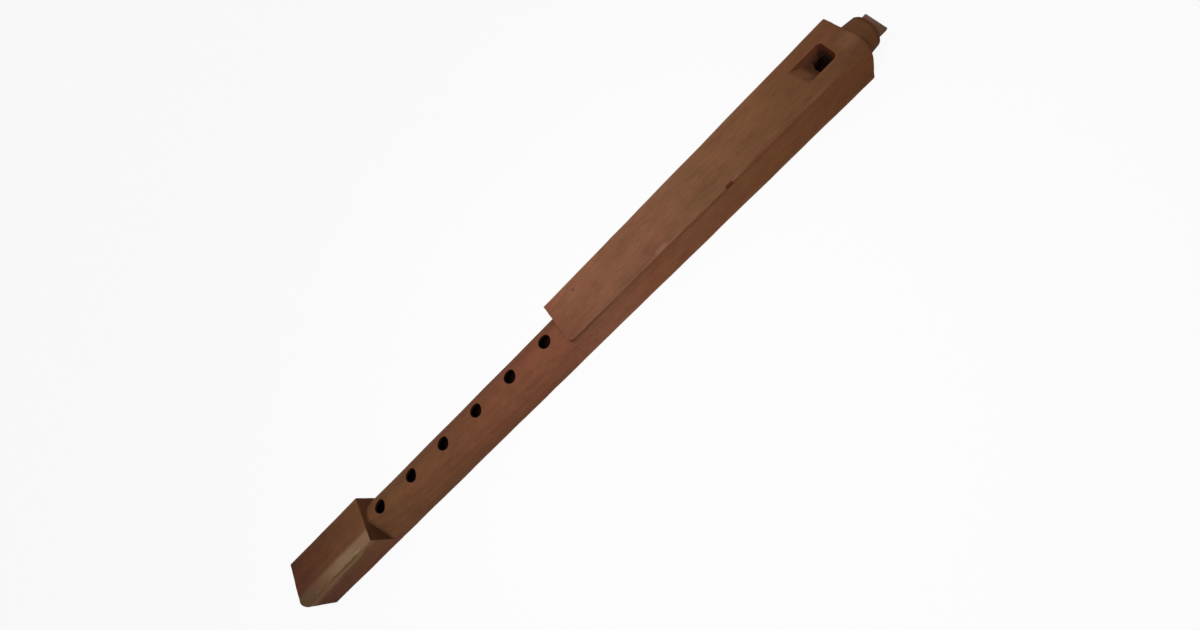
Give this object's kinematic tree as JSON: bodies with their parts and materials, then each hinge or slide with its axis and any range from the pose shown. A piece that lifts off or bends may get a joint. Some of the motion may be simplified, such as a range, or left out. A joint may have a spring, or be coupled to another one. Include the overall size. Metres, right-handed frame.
{
  "type": "tarka flute",
  "caption": "Duct flute carved from a squared wooden stick: square foot, rounded finger section with holes, square head with a sloped window, round mouth nipple and a separate fipple block.",
  "frame": {"origin": "on the flat back, under the middle of the flute's whole length and width", "axes": "+X from the foot to the mouth end, +Y to the flute's left seen from the front with the mouth end up, +Z out of the front face with the finger holes"},
  "size_m": [0.4978, 0.0338, 0.0282],
  "materials": {
    "body_wood": "dark reddish-brown hardwood, satin from handling, grain along the stick",
    "block_wood": "slightly paler reddish hardwood, matte, grain along the bore"
  },
  "bodies": {
    "flute": {"flute_body": "body_wood"},
    "block": {"fipple_block": "block_wood"}
  },
  "joints": [
    {"name": "block_slide", "type": "slide", "parent": "flute", "child": "block", "axis": [1, 0, 0], "range_m": [0, 0.03]}
  ]
}
